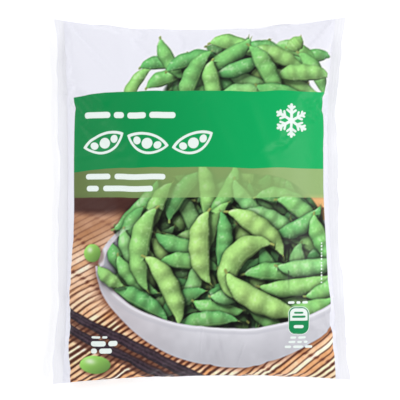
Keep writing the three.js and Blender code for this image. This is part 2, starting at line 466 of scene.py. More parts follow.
# The fin seal lies flat under the back wall, which is lifted over it.
FIN_LOW = -0.006
FIN_WIDTH = 0.012
FIN_THICKNESS = 0.00035
FIN_LIFT = FIN_THICKNESS + 0.0001
from_fin = abs(fine_flat[..., 1] - FIN_LOW - FIN_WIDTH / 2) / (FIN_WIDTH / 2)
back[..., 2] = np.maximum(back[..., 2], np.clip(1.5 - from_fin, 0, 1) * FIN_LIFT)

# At both ends the layers are pressed together by ribbed jaws, into a flat strip that waves a little.
SEAL_COLUMNS = 11
RIB_HEIGHT = 0.00011
RIBS = 3
SEAL_DROOP = 0.0002
SEAL_WAVE = 0.0008
SEAL_WAVE_TURNS = (9, 17, 31, 47)
FILM_GAP = 0.0002
level_rows = v_fine[0]


def seal_strip(edge, side, seed):
    """Points of one end seal, from its outer edge to the pouch, with their flat places."""
    u = np.full_like(level_rows, side)
    outer = outline(u, level_rows)
    phases = np.random.default_rng(seed).uniform(0, 2 * math.pi, len(SEAL_WAVE_TURNS))
    wave = np.zeros_like(level_rows)
    for k, (turns, phase) in enumerate(zip(SEAL_WAVE_TURNS, phases)):
        wave = wave + np.sin(level_rows * turns + phase) / (k + 1)
    strip, flat = [], []
    for k in range(SEAL_COLUMNS, 0, -1):
        t = k / SEAL_COLUMNS
        xy = edge[:, :2] * (1 - t) + outer * t
        xy[:, 0] += side * SEAL_WAVE * np.roll(wave, 40) * t
        z = edge[:, 2] - SEAL_DROOP * t + SEAL_WAVE * wave * t * t
        z = z + RIB_HEIGHT * math.sin(t * RIBS * 2 * math.pi)
        strip.append(np.concatenate([xy, z[:, None]], 1))
        run = side * (POUCH_WIDTH / 2 + SEAL_WIDTH * t)
        flat.append(np.stack([np.full_like(level_rows, run), fine_flat[0, :, 1]], 1))
    return np.stack(strip), np.stack(flat)


left_strip, left_flat = seal_strip(front[0], -1, 5)
right_strip, right_flat = seal_strip(front[-1], 1, 8)
front = np.concatenate([left_strip, front, right_strip[::-1]])
back = np.concatenate([left_strip, back, right_strip[::-1]])
fine_flat = np.concatenate([left_flat, fine_flat, right_flat[::-1]])
u_fine = fine_flat[..., 0] / (POUCH_WIDTH / 2 + SEAL_WIDTH)
v_fine = fine_flat[..., 1] / (POUCH_HEIGHT / 2)
columns, rows = u_fine.shape
rim = np.zeros(u_fine.shape, bool)
rim[[0, -1]] = True
rim[:, [0, -1]] = True
back[..., 2] = np.where(rim, front[..., 2], np.minimum(back[..., 2], front[..., 2] - FILM_GAP))
lowest = min(front[..., 2].min(), back[..., 2].min())
front[..., 2] -= lowest
back[..., 2] -= lowest

# The back stays as coarse as the cloth, and its outer faces keep every point of the shared rim.
front_ids = np.arange(u_fine.size).reshape(u_fine.shape)
half_seal = SEAL_COLUMNS // 2
kept_columns = list(range(SEAL_COLUMNS, columns - SEAL_COLUMNS, FINER))
kept_columns = [0, half_seal] + kept_columns + [columns - 1 - half_seal, columns - 1]
kept_rows = list(range(0, rows, FINER))
kept = np.zeros(u_fine.shape, bool)
kept[np.ix_(kept_columns, kept_rows)] = True
back_only = kept & ~rim
back_ids = front_ids.copy()
back_ids[back_only] = u_fine.size + np.arange(back_only.sum())
pouch_points = np.concatenate([front.reshape(-1, 3), back[back_only]])
back_faces = []
for i0, i1 in zip(kept_columns, kept_columns[1:]):
    for j0, j1 in zip(kept_rows, kept_rows[1:]):
        ring = [(i0, j) for j in range(j0, j1)] + [(i, j1) for i in range(i0, i1)]
        ring += [(i1, j) for j in range(j1, j0, -1)] + [(i, j0) for i in range(i1, i0, -1)]
        back_faces.append([int(back_ids[c]) for c in ring if kept[c] or rim[c]])
pouch_mesh = bpy.data.meshes.new("film_pouch")
pouch_mesh.from_pydata(pouch_points.tolist(), [], cell_faces(front_ids) + back_faces)
pouch = bpy.data.objects.new("film_pouch", pouch_mesh)
bpy.context.scene.collection.objects.link(pouch)
pouch_mesh.shade_smooth()
edge_ends = np.empty(len(pouch_mesh.edges) * 2, int)
pouch_mesh.edges.foreach_get("vertices", edge_ends)
on_rim = np.concatenate([rim.ravel(), np.zeros(back_only.sum(), bool)])
folded = pouch_mesh.attributes.new("sharp_edge", "BOOLEAN", "EDGE")
folded.data.foreach_set("value", on_rim[edge_ends.reshape(-1, 2)].all(1))

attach(pouch, "root")
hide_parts("bag_film")

# The print on the pouch is made while the film is still flat: a picture of pods in a white bowl on
# a slatted mat, a green band and a pale veil over it, and a second heap of pods on white above.
# It is painted here in millimetres on the lying bag, and stored in the film's points.

PRINT_CELL = 0.4
PRINT_HALF_WIDTH = 112.0
PRINT_HALF_HEIGHT = 142.0
LIGHT_FROM = np.array([-0.42, 0.48, 0.77])
GAMMA = 2.4

print_x, print_y = np.meshgrid(
    np.arange(-PRINT_HALF_WIDTH, PRINT_HALF_WIDTH, PRINT_CELL),
    np.arange(-PRINT_HALF_HEIGHT, PRINT_HALF_HEIGHT, PRINT_CELL),
    indexing="ij",
)


def rgb(red, green, blue):
    """A colour as the eye sees it, from 0 to 255 a part."""
    return np.array([red, green, blue]) / 255


def to_light(colour):
    """Colour as the eye sees it, turned to amounts of light."""
    colour = np.clip(colour, 0, 1)
    return np.where(colour < 0.04045, colour / 12.92, ((colour + 0.055) / 1.055) ** GAMMA)


def toned(colour, other, share):
    """A colour, or a field of colours, moved a share of the way to another."""
    return colour + (other - colour) * share[..., None]


def smooth_step(low, high, value):
    """0 up to low, 1 from high on, and a soft ramp between them, which may also fall."""
    t = np.clip((value - low) / (high - low), 0, 1)
    return t * t * (3 - 2 * t)


def cloud(pitch, seed):
    """Soft random values from -1 to 1 with blots of about this pitch in millimetres."""
    random = np.random.default_rng(seed)
    shape = (int(2 * PRINT_HALF_WIDTH / pitch) + 4, int(2 * PRINT_HALF_HEIGHT / pitch) + 4)
    knots = random.uniform(-1, 1, shape)
    place_x = (print_x + PRINT_HALF_WIDTH) / pitch
    place_y = (print_y + PRINT_HALF_HEIGHT) / pitch
    i, j = place_x.astype(int), place_y.astype(int)
    s, t = smooth_step(0, 1, place_x - i), smooth_step(0, 1, place_y - j)
    return between(knots, i, j, s, t)


FILM_WHITE = rgb(240, 240, 249)
fine_cloud = cloud(1.3, 1)
middle_cloud = cloud(5, 2)
broad_cloud = cloud(18, 3)
picture = np.ones(print_x.shape + (3,)) * FILM_WHITE


def lay(colour, cover):
    """Paints a colour, or a field of colours, over the picture where cover is near 1."""
    picture[:] = toned(picture, colour, cover)


# The mat: pale bamboo slats with dark gaps, tied in rows by brown thread.
MAT_SLAT = 3.8
MAT_TIES = 24
MOST_SLATS = 400


def slats(heading, shade_seed, gap_width, contrast):
    """Colours of straight slats that run along a heading in degrees."""
    a = math.radians(heading)
    side = print_y * math.cos(a) - print_x * math.sin(a) + 0.12 * broad_cloud
    run = print_x * math.cos(a) + print_y * math.sin(a)
    number = np.floor(side / MAT_SLAT).astype(int)
    part = side / MAT_SLAT - number
    random = np.random.default_rng(shade_seed)
    shades = random.uniform(-1, 1, MOST_SLATS)
    widths = gap_width * random.uniform(0.4, 1.7, MOST_SLATS)
    shade = shades[number % MOST_SLATS][..., None]
    tan = rgb(226, 180, 142) + shade * rgb(24, 36, 46)
    stain = 0.03 * fine_cloud + 0.05 * middle_cloud + 0.05 * broad_cloud
    tan = tan + stain[..., None] * rgb(200, 255, 300)
    rounded = (1.03 - 0.16 * (2 * part - 1) ** 2)[..., None]
    width = widths[number % MOST_SLATS]
    gap = smooth_step(width + 0.09, width - 0.05, np.minimum(part, 1 - part))
    stagger = random.uniform(-1.2, 1.2, MOST_SLATS)[number % MOST_SLATS]
    knot_run = np.mod(run + 0.55 * side + stagger, MAT_TIES) - MAT_TIES / 2
    knot = np.exp(-(knot_run / 1.7) ** 2) * smooth_step(0.46, 0.16, np.minimum(part, 1 - part))
    slat = toned(tan * rounded, rgb(112, 58, 40), np.maximum(0.6 * gap * contrast, 0.85 * knot))
    return toned(slat, rgb(66, 28, 18), 0.78 * gap * contrast)


# Pale fine slats at the left, darker gaps below, other slats behind the bowl's right side, and
# a brown haze and a dark strip far behind.
panel = smooth_step(80.5, 78.5, print_y)
mat = slats(27, 5, 0.055, 0.66)
lower_part = smooth_step(-62, -92, print_y + 0.35 * print_x + 24)
mat = toned(mat, 1.1 * slats(35, 9, 0.17, 0.95), lower_part)
mat = toned(mat, 1.1 * slats(39, 6, 0.12, 0.8), smooth_step(14, 30, print_x))
haze = rgb(176, 126, 96) + (0.05 * broad_cloud + 0.04 * middle_cloud)[..., None]
mat = toned(mat, haze, 0.72 * smooth_step(-42, -14, print_y))
lay(mat, panel)
behind = smooth_step(-12, -5, print_y + 2.5 * broad_cloud) * smooth_step(60, 40, print_x) * panel
lay(rgb(66, 36, 32), 0.93 * behind)
warm = smooth_step(58, 72, print_x) * smooth_step(-50, -36, print_y) * panel
lay(rgb(238, 184, 122), warm)
beyond = smooth_step(0, 6, print_y) * panel
lay(rgb(120, 126, 92), smooth_step(20, 60, print_x) * beyond)
lay(rgb(96, 84, 52), smooth_step(30, -20, print_x) * beyond)


def across_line(x1, y1, x2, y2):
    """Distance to the left of a line between two points, and how far along it, 0 to 1."""
    dx, dy = x2 - x1, y2 - y1
    length = math.hypot(dx, dy)
    run = ((print_x - x1) * dx + (print_y - y1) * dy) / length
    off = ((print_y - y1) * dx - (print_x - x1) * dy) / length
    return off, run / length


# Two dark lacquered chopsticks, with their shadow on the mat.
CHOPSTICKS = ((-100, -90.5, 4, -143, 3.7), (-100, -79, 16, -138, 3.9))
for x1, y1, x2, y2, thick in CHOPSTICKS:
    off, run = across_line(x1, y1, x2, y2)
    off = off + 0.35 * middle_cloud + 0.4 * np.sin(9 * run)
    half = thick * (0.80 + 0.34 * run)
    lay(rgb(74, 38, 28), 0.75 * smooth_step(half + 3.0, half + 0.4, abs(off + 1.8)) * panel)
    sheen = 1.0 + 0.55 * np.exp(-((off / half + 0.25) / 0.2) ** 2)
    sheen = sheen + 0.4 * np.exp(-((off / half - 0.5) / 0.2) ** 2)
    stick = rgb(46, 34, 42) * sheen[..., None]
    stick = stick + (0.04 * fine_cloud + 0.03 * middle_cloud)[..., None]
    lay(stick, smooth_step(half + 0.4, half - 0.4, abs(off)) * panel)

# The pictured pods. Each is bent, swells over its beans, and has a stalk end and a beak end.
LONG_POD = 38
LEAST_BEND = 6
BEAN_SPREAD = 1.30
BEAN_REACH = 0.62
BEAK_ENDS = 1.14
STALK_ENDS = 1.11

POD_GREENS = (
    rgb(116, 184, 104),
    rgb(138, 196, 112),
    rgb(158, 204, 118),
    rgb(98, 170, 98),
    rgb(128, 190, 118),
)


def paint_pod(
    x, y, heading, length, width, bend, tint, shade=1.0, clip=None, drop=0.6, cast_on=None
):
    """One pod, with its seam, its frost and the shadow that it drops on what lies under it."""
    reach = length * 0.62 + 6
    i0 = max(0, int((x - reach + PRINT_HALF_WIDTH) / PRINT_CELL))
    i1 = min(print_x.shape[0], int((x + reach + PRINT_HALF_WIDTH) / PRINT_CELL))
    j0 = max(0, int((y - reach + PRINT_HALF_HEIGHT) / PRINT_CELL))
    j1 = min(print_x.shape[1], int((y + reach + PRINT_HALF_HEIGHT) / PRINT_CELL))
    if i1 - i0 < 4 or j1 - j0 < 4:
        return
    area = (slice(i0, i1), slice(j0, j1))
    east, north = print_x[area] - x, print_y[area] - y
    a = math.radians(heading)
    bend = math.radians(bend if abs(bend) > LEAST_BEND else LEAST_BEND)
    radius = length / bend
    run0 = east * math.cos(a) + north * math.sin(a)
    off0 = north * math.cos(a) - east * math.sin(a)
    run = radius * np.arctan2(run0 / radius, (radius - off0) / radius)
    off = radius - math.copysign(1, radius) * np.hypot(run0, radius - off0)
    q = 2 * run / length
    beans = 3 if length > LONG_POD else 2
    outer = 0.5 - 0.5 * np.tanh(off / 2.0) * math.copysign(1, bend)
    bean_at = [(k - (beans - 1) / 2) * BEAN_SPREAD / beans for k in range(beans)]
    swell = sum(np.exp(-((q - b) * beans / BEAN_REACH) ** 2) for b in bean_at)
    body = np.clip(1 - abs(q) ** 2.6, 0, 1) ** 0.66 * (0.80 + (0.10 + 0.20 * outer) * swell)
    body = body * (1.0 - 0.10 * q)
    half = np.maximum(width / 2 * body, 0.01)
    off = off - 0.9 * np.clip(abs(q) - 0.8, 0, 1) * width * 0.6 * math.copysign(1, bend)
    beak = 0.75 * np.clip((BEAK_ENDS - q) / 0.26, 0, 1) * (q > 0.7)
    stalk = 0.85 * (q < -0.8) * (q > -STALK_ENDS)
    half = np.maximum(half, np.maximum(beak, stalk))
    gap = abs(off) - half
    inside = np.clip(0.5 - gap / PRINT_CELL, 0, 1) * (abs(q) < BEAK_ENDS)
    across = np.clip(off / half, -1, 1)
    height = half * 0.56 * np.sqrt(1 - 0.97 * across ** 2)
    height = height + 0.20 * width * swell * (1 - across ** 2) * body + 0.16 * middle_cloud[area]
    slope_x, slope_y = np.gradient(height, PRINT_CELL)
    facing = np.stack([-slope_x, -slope_y, np.ones_like(height)], -1)
    facing /= np.linalg.norm(facing, axis=-1, keepdims=True)
    lit = np.clip(facing @ LIGHT_FROM, 0, 1)
    green = POD_GREENS[tint % len(POD_GREENS)]
    tone = 0.57 + 0.66 * lit - 0.24 * across ** 6
    mottle = 0.045 * fine_cloud[area] + 0.045 * middle_cloud[area]
    colour = green * (shade * tone + mottle)[..., None]
    yellow = (0.16 * swell * (1 - across ** 2) + 0.12 * broad_cloud[area]) * shade
    colour = toned(colour, rgb(196, 212, 130), np.clip(yellow, 0, 1))
    seam = np.exp(-((across - 0.72 * math.copysign(1, bend)) / 0.08) ** 2) * (abs(q) < 0.97)
    colour = toned(colour, rgb(176, 214, 130), 0.28 * seam * shade)
    damp = smooth_step(0.0, 0.7, middle_cloud[area] + 0.6 * fine_cloud[area])
    wet = smooth_step(0.90, 0.99, lit) * damp
    colour = toned(colour, rgb(222, 236, 204), 0.42 * wet * shade)
    frost = smooth_step(0.50, 0.95, fine_cloud[area] + 0.4 * middle_cloud[area])
    colour = toned(colour, rgb(206, 226, 190), 0.20 * frost * shade)
    colour = toned(colour, rgb(150, 132, 70), 0.55 * (abs(q) > 0.99))
    keep = 1.0 if clip is None else clip[area]
    cast_keep = keep if cast_on is None else cast_on[area]
    under = np.where(abs(q) < 1.08, np.maximum(gap, 0), 9)
    cast = np.roll(under, (4, -5), (0, 1))
    dark = 1 - drop * np.exp(-cast / 1.7) * cast_keep
    dark *= 1 - 0.45 * drop * np.exp(-under / 0.8) * cast_keep
    picture[area] = toned(picture[area] * dark[..., None], colour, inside * keep)


# The bowl: white glazed ware, seen from a little above, cut by the panel's right edge.
BOWL_X, BOWL_Y = 21.0, -47.0
RIM_A, RIM_B = 95.0, 47.0
WALL_A, WALL_B = 97.0, 74.0
WALL_POWER = 1.8

rim_far = np.hypot((print_x - BOWL_X) / RIM_A, (print_y - BOWL_Y) / RIM_B)
wall_x = abs((print_x - BOWL_X) / WALL_A) ** WALL_POWER
wall_y = abs((print_y - BOWL_Y) / WALL_B) ** WALL_POWER
wall_far = (wall_x + wall_y) ** (1 / WALL_POWER)
below = print_y < BOWL_Y
wall_cover = smooth_step(1.006, 0.994, np.where(below, wall_far, rim_far))
wall_shadow = smooth_step(1.07, 0.99, wall_far)
lay(rgb(96, 48, 34), 0.55 * wall_shadow * (print_y < BOWL_Y + 6) * panel)
down = np.clip((BOWL_Y - print_y) / WALL_B, 0, 1)
glaze = rgb(217, 216, 223) - (0.10 * smooth_step(0.55, 1.0, wall_far) * down)[..., None]
glaze = glaze + (0.015 * middle_cloud + 0.02 * broad_cloud)[..., None]
mat_glow = 0.04 * smooth_step(0.2, 1.0, (BOWL_X - print_x) / WALL_A)
glaze = glaze - mat_glow[..., None] * rgb(100, 230, 255)
lay(glaze, wall_cover * panel)
RIM_IN = 0.965
hollow = smooth_step(RIM_IN + 0.008, RIM_IN - 0.008, rim_far)
inner_wall = rgb(176, 178, 186) * (0.72 + 0.35 * smooth_step(-0.2, 1, rim_far))[..., None]
lay(inner_wall, hollow * panel)
in_bowl = np.maximum(hollow, smooth_step(-33, -26, print_y)) * panel
heap_side = np.where(print_x > 24, (print_x - 24) / 68, (24 - print_x) / 110)
heap_top = np.clip((print_y + 44) / 64, 0, None)
heap_round = np.where(heap_top > 0, heap_side ** 2.6 + heap_top ** 2.6, 0)
heap_clip = in_bowl * smooth_step(1.03, 0.97, heap_round)
heap_far = np.hypot((print_x - BOWL_X - 2) / (RIM_A * 0.93), (print_y - BOWL_Y + 2) / (RIM_B * 0.93))
lay(rgb(50, 84, 50), smooth_step(1.0, 0.93, heap_far) * in_bowl)
mound = smooth_step(1.02, 0.96, np.hypot((print_x - 20) / 72, (print_y + 46) / 62))
lay(rgb(54, 88, 52), mound * (print_y > BOWL_Y) * in_bowl)

random = np.random.default_rng(29)
MOST_TRIES = 6000
WIDE_ROOM = 8.5
NARROW_ROOM = 6.5


def fill_with_pods(count, inside, shade, length, clip, drop=0.55, cast_on=None):
    """Pods at random places, farthest first, where inside(x, y) is true."""
    places = []
    tries = 0
    while len(places) < count and tries < MOST_TRIES:
        tries += 1
        x, y = random.uniform(-80, 112), random.uniform(-100, 125)
        if not inside(x, y):
            continue
        room = WIDE_ROOM if tries < MOST_TRIES / 2 else NARROW_ROOM
        if all(math.hypot(x - a, y - b) > room for a, b in places):
            places.append((x, y))
    places.sort(key=lambda p: -p[1])
    for x, y in places:
        long = length * random.uniform(0.8, 1.15)
        paint_pod(
            x, y, random.uniform(-180, 180), long, random.uniform(11.0, 13.5),
            random.uniform(-70, 70), int(random.integers(0, 5)), shade * random.uniform(0.88, 1.08),
            clip, drop, cast_on,
        )


def in_heap(x, y):
    low = math.hypot((x - BOWL_X - 2) / (RIM_A * 0.86), (y - BOWL_Y) / (RIM_B * 0.82)) < 1
    high = y > BOWL_Y and math.hypot((x - 24) / 74, (y + 46) / 60) < 1
    return low or high


fill_with_pods(60, in_heap, 0.66, 40, heap_clip)
fill_with_pods(44, in_heap, 0.84, 46, heap_clip)

# The upper pods of the heap, in the order they lie: place, heading, length, width, bend, green.
BOWL_PODS = (
    (-14, 6, 52, 44, 12.5, -40, 3),
    (4, 8, 96, 42, 12, 30, 1),
    (18, 4, 62, 46, 12.5, 35, 0),
    (34, -2, -48, 40, 11.5, 30, 4),
    (60, 2, -14, 42, 12, -30, 3),
    (74, -9, -42, 44, 13, -50, 0),
    (-44, -6, 48, 48, 13, 25, 3),
    (-32, -4, 66, 40, 12, -22, 1),
    (50, -14, -24, 44, 13, -20, 4),
    (72, -18, 30, 40, 12, 40, 3),
    (-51, -20, 70, 36, 12, -30, 3),
    (88, -30, -60, 42, 13, 30, 0),
    (-58, -44, -50, 32, 12, 25, 3),
    (-52, -36, -66, 32, 11, 20, 4),
    (-12, -33, -14, 46, 12.5, 25, 3),
    (-8, -44, -8, 44, 12, -20, 0),
    (8, -18, 68, 40, 11, -35, 1),
    (16, -28, 88, 40, 12, 18, 3),
    (56, -52, -6, 50, 13, -14, 0),
    (78, -48, 6, 46, 13, 16, 4),
    (70, -62, 8, 56, 13, 24, 1),
    (94, -62, 30, 40, 12, 20, 0),
    (-48, -56, -42, 40, 12, 30, 0),
    (-4, -58, 74, 34, 12, -16, 4),
    (-14, -72, 32, 38, 12.5, -25, 3),
    (12, -78, -10, 36, 12.5, 14, 0),
    (4, -86, 6, 44, 12, -14, 3),
    (-42, -72, -30, 44, 12, -24, 3),
    (22, -68, 12, 30, 12, 10, 4),
    (48, -74, -20, 44, 12, 22, 3),
    (76, -78, 14, 40, 12, 18, 0),
    (-44, -34, -96, 62, 15, 52, 1),
    (-23, -62, -64, 56, 14.5, -38, 2),
    (-1, -34, -88, 54, 15, 44, 2),
    (42, -20, -38, 52, 14.5, -30, 2),
    (24, -42, -124, 60, 16.5, 118, 2),
    (42, -72, -28, 62, 16.5, 34, 2),
)
for pod in BOWL_PODS:
    paint_pod(*pod, 1.0, in_bowl, 0.58)

# The near wall of the bowl stands in front of the heap, and its rim catches the light.
front_rim = smooth_step(RIM_IN - 0.012, RIM_IN, rim_far) * wall_cover * smooth_step(-14, -34, print_y)
lay(glaze, front_rim * panel)
rim_light = np.exp(-((rim_far - 0.985) / 0.012) ** 2) * smooth_step(-29, -36, print_y)
lay(rgb(240, 240, 246), 0.75 * rim_light * panel)
shade_under = np.exp(-((rim_far - 1.035) / 0.02) ** 2) * below * wall_cover
lay(rgb(186, 186, 196), 0.35 * shade_under * panel)
RIM_POD = (-66.0, -56.0, -38, 23, 10, 14, 1)
paint_pod(*RIM_POD, 0.95, panel, 0.5)

# Two loose beans on the mat, with their shadow and a gleam.
BEANS = ((-78.5, -38, 12, 13), (-77, -118.5, 22, 13))
BEAN_SHADOW = 1.5
for x, y, long, wide in BEANS:
    east, north = (print_x - x) / long, (print_y - y) / wide
    beside = np.hypot(2 * (east - BEAN_SHADOW / long), 2 * (north + BEAN_SHADOW / wide))
    lay(rgb(92, 58, 42), 0.5 * smooth_step(1.35, 0.95, beside))
    lift = np.clip(0.92 + 0.34 * (north - east), 0.5, 1.15)
    bean = rgb(146, 202, 96) * lift[..., None]
    gleam = np.exp(-np.hypot((east + 0.15) / 0.16, (north - 0.18) / 0.16) ** 2)
    bean = toned(bean, rgb(240, 246, 228), 0.75 * gleam)
    lay(bean, smooth_step(1.06, 0.94, np.hypot(2 * east, 2 * north)))

# The second heap stands on the white film, with its foot behind the green band.
above = smooth_step(71.5, 73.0, print_y)
lay(FILM_WHITE, above)
above = above * smooth_step(89.5, 88.0, print_x - 0.3 * np.clip(print_y - 79, 0, 20))


def in_upper_heap(x, y):
    return y > 70 and math.hypot((x - 27) / 52, (y - 66) / 40) < 1


heap_core = above * smooth_step(1.02, 0.94, np.hypot((print_x - 26) / 56, (print_y - 66) / 44))
lay(rgb(62, 100, 58), heap_core)
fill_with_pods(26, in_upper_heap, 0.70, 36, above, 0.5, heap_core)
fill_with_pods(18, in_upper_heap, 0.86, 40, above, 0.5, heap_core)
UPPER_PODS = (
    (-48, 84, 58, 34, 9, -50, 1),
    (-26, 88, 20, 30, 11, -14, 0),
    (-30, 99, 4, 28, 10, -18, 3),
    (-23, 101, -58, 34, 11, 20, 0),
    (-8, 102, 18, 38, 11, -24, 3),
    (78, 104, 10, 34, 10, -16, 3),
    (68, 109, -14, 30, 10, -20, 0),
    (68, 113, 40, 14, 10, 12, 1),
    (82, 93, -60, 36, 11, -24, 0),
    (44, 111, -8, 30, 10, -22, 3),
    (24, 113, -14, 36, 12, -34, 1),
    (54, 104, -18, 46, 12.5, -28, 1),
    (20, 104, 34, 42, 12.5, 18, 0),
    (-6, 90, 64, 44, 13, -28, 0),
    (34, 86, -20, 34, 12, 12, 4),
    (28, 96, 24, 36, 11, 16, 3),
    (66, 84, -28, 38, 12, 14, 1),
    (74, 92, 4, 40, 12.5, -22, 1),
    (48, 93, -66, 48, 13, -28, 0),
    (8, 84, -80, 34, 12.5, 24, 1),
    (30, 78, 6, 34, 12, -16, 4),
    (56, 78, -10, 34, 12, 12, 3),
)
for pod in UPPER_PODS:
    paint_pod(*pod, 1.0, above, 0.5, heap_core)

# Where the smoothed bag carries each point of the print, in millimetres.
FIT_DEGREE = 7
terms = [(a, b) for a in range(FIT_DEGREE + 1) for b in range(FIT_DEGREE + 1 - a)]


def powers(u, v):
    """One column for each product of powers of u and v in the fit."""
    return np.stack([u ** a * v ** b for a, b in terms], -1)


grid_powers = powers(u_fine.ravel(), v_fine.ravel())
print_place = front[..., :2].reshape(-1, 2) * 1000
fit = np.linalg.lstsq(grid_powers[::7], print_place[::7], rcond=None)[0]
print_place = (grid_powers @ fit).reshape(u_fine.shape + (2,))
at_x, at_y = print_place[..., 0], print_place[..., 1]

# Offset printing is crisp: each edge in the picture is a little stronger than it was painted.
SHARPEN = 0.65
SHARPEN_CELLS = 3
softened = picture.copy()
for shift in range(1, SHARPEN_CELLS):
    for axis in (0, 1):
        softened = (np.roll(softened, shift, axis) + softened + np.roll(softened, -shift, axis)) / 3
picture = np.clip(picture + SHARPEN * (picture - softened), 0, 1)
halved = (picture[1:, 1:] + picture[:-1, 1:] + picture[1:, :-1] + picture[:-1, :-1]) / 4


def ink_at(x, y):
    """The painted colour at places in millimetres."""
    place_i = np.clip((x + PRINT_HALF_WIDTH) / PRINT_CELL - 0.5, 0, halved.shape[0] - 2)
    place_j = np.clip((y + PRINT_HALF_HEIGHT) / PRINT_CELL - 0.5, 0, halved.shape[1] - 2)
    i, j = place_i.astype(int), place_j.astype(int)
    s, t = (place_i - i)[..., None], (place_j - j)[..., None]
    return between(halved, i, j, s, t)


ink = ink_at(at_x, at_y)
back_x = at_x[back_only]
back_y = at_y[back_only]

# The plain shapes of the print are kept as distances in millimetres, above 0 inside them.


def slab(x1, y1, x2, y2, corner):
    """A bar with round corners."""
    wide, high = abs(x2 - x1) / 2 - corner, abs(y2 - y1) / 2 - corner
    east = abs(at_x - (x1 + x2) / 2) - wide
    north = abs(at_y - (y1 + y2) / 2) - high
    beside = np.hypot(np.maximum(east, 0), np.maximum(north, 0))
    return corner - beside - np.minimum(np.maximum(east, north), 0)


def stroke(x1, y1, x2, y2, thick):
    """A straight stroke with round ends."""
    dx, dy = x2 - x1, y2 - y1
    t = np.clip(((at_x - x1) * dx + (at_y - y1) * dy) / (dx * dx + dy * dy), 0, 1)
    return thick / 2 - np.hypot(at_x - x1 - t * dx, at_y - y1 - t * dy)


OUTSIDE = -9.0
BAR_SPACE = 0.45
BAR_ROUND = 0.45


def word_bars(x1, y1, x2, y2, words):
    """A line of plain bars in place of words."""
    total = sum(words) + BAR_SPACE * (len(words) - 1)
    unit = (x2 - x1) / total
    shape = np.full(at_x.shape, OUTSIDE)
    x = x1
    for word in words:
        shape = np.maximum(shape, slab(x, y1, x + word * unit, y2, (y2 - y1) * BAR_ROUND))
        x += (word + BAR_SPACE) * unit
    return shape


def pod_sign(x, y, size, tilt):
    """A plain sign of a pod: a bent outline round three beans."""
    a = math.radians(tilt)
    east, north = at_x - x, at_y - y
    run = east * math.cos(a) + north * math.sin(a)
    off = north * math.cos(a) - east * math.sin(a) - 0.30 * run ** 2 / size + size * 0.07
    half_long, half_wide = size / 2, size * 0.245
    round_radius = (half_long ** 2 + half_wide ** 2) / (2 * half_wide)
    depth = round_radius - np.hypot(run, abs(off) + round_radius - half_wide)
    shape = 0.9 - abs(depth - 0.9)
    for k in (-1, 0, 1):
        radius = size * (0.088 if k else 0.125)
        shape = np.maximum(shape, radius - np.hypot(run - k * size * 0.245, off))
    return shape


# The edges of the picture and of the green band on it. The band sags at the left, over a pale veil.
PANEL_LEFT, PANEL_RIGHT, PANEL_TOP = -92.0, 88.6, 76
BAND_TOP, BAND_FOOT, VEIL_FOOT = 78.8, 23.9, 2.2
left_edge = PANEL_LEFT - 3.2 * smooth_step(0, -70, at_y)
right_edge = PANEL_RIGHT + 9.0 * np.clip((10 - at_y) / 142, 0, 1) ** 1.2
sides_in = np.minimum(at_x - left_edge, right_edge - at_x)
panel_in = np.minimum(sides_in, PANEL_TOP - at_y)
left_sag = np.clip((-at_x - 35) / 57, 0, 1) ** 2
band_top = BAND_TOP - 4.0 * left_sag
band_foot = BAND_FOOT - 3.4 * left_sag - 0.8 * np.clip(at_x / 89, 0, 1)
band_in = np.minimum(np.minimum(band_top - at_y, at_y - band_foot), sides_in)
veil_in = np.minimum(np.minimum(band_foot + 1 - at_y, at_y - VEIL_FOOT), sides_in)

# White on the print: bars where the words were, a badge, three signs of a pod, a snow crystal
# for frozen goods, and a column of small marks at the right edge.
WORD_BARS = (
    (-84.5, 59.2, -18.5, 63.6, (3.4, 1.3, 2.4, 3.4)),
    (-83, 15.2, -25.5, 19.2, (2.6, 5.4)),
    (-82.5, 6.6, -34.5, 10.6, (1.2, 5.0)),
    (-79.3, -99.4, -68, -97.8, (2.2, 1.4)),
    (-79.5, -105.2, -60.5, -101.4, (2.6, 1.6)),
    (-79.5, -110.4, -64.5, -106.8, (1.2, 2.4)),
    (62.5, -74.4, 76.5, -72.6, (1.6, 1.0, 1.4)),
    (64.0, -99.6, 75.0, -98.0, (1.4, 1.8)),
    (63.0, -102.8, 76.5, -101.2, (1.8, 1.2, 1.0)),
    (60.5, -106.4, 80.0, -104.6, (1.6, 2.4, 1.8)),
)
white_parts = [word_bars(*line) for line in WORD_BARS]
white_parts.append(slab(62.4, -96.6, 77.0, -76.4, 5.0))
for x, tilt in ((-70.5, 20), (-38.3, -14), (-6.3, 20)):
    white_parts.append(pod_sign(x, 43.2, 31, tilt))
FLAKE_X, FLAKE_Y, FLAKE = 65.0, 57.4, 11.4
FLAKE_ARMS = 6
for k in range(FLAKE_ARMS):
    a = math.radians(90 + 360 / FLAKE_ARMS * k)
    tip_x, tip_y = FLAKE_X + FLAKE * math.cos(a), FLAKE_Y + FLAKE * math.sin(a)
    white_parts.append(stroke(FLAKE_X, FLAKE_Y, tip_x, tip_y, 2.0))
    for part, branch in ((0.45, 0.34), (0.74, 0.24)):
        x1 = FLAKE_X + FLAKE * part * math.cos(a)
        y1 = FLAKE_Y + FLAKE * part * math.sin(a)
        for side in (-50, 50):
            b = a + math.radians(side)
            x2, y2 = x1 + FLAKE * branch * math.cos(b), y1 + FLAKE * branch * math.sin(b)
            white_parts.append(stroke(x1, y1, x2, y2, 1.6))
SIDE_MARKS = 13
for k in range(SIDE_MARKS):
    low = -59.5 + 2.35 * k
    white_parts.append(slab(86.4, low, 87.6, low + (1.5 if k % 3 else 1.0), 0.4))
white_in = np.full(at_x.shape, OUTSIDE)
for part in white_parts:
    white_in = np.maximum(white_in, part)
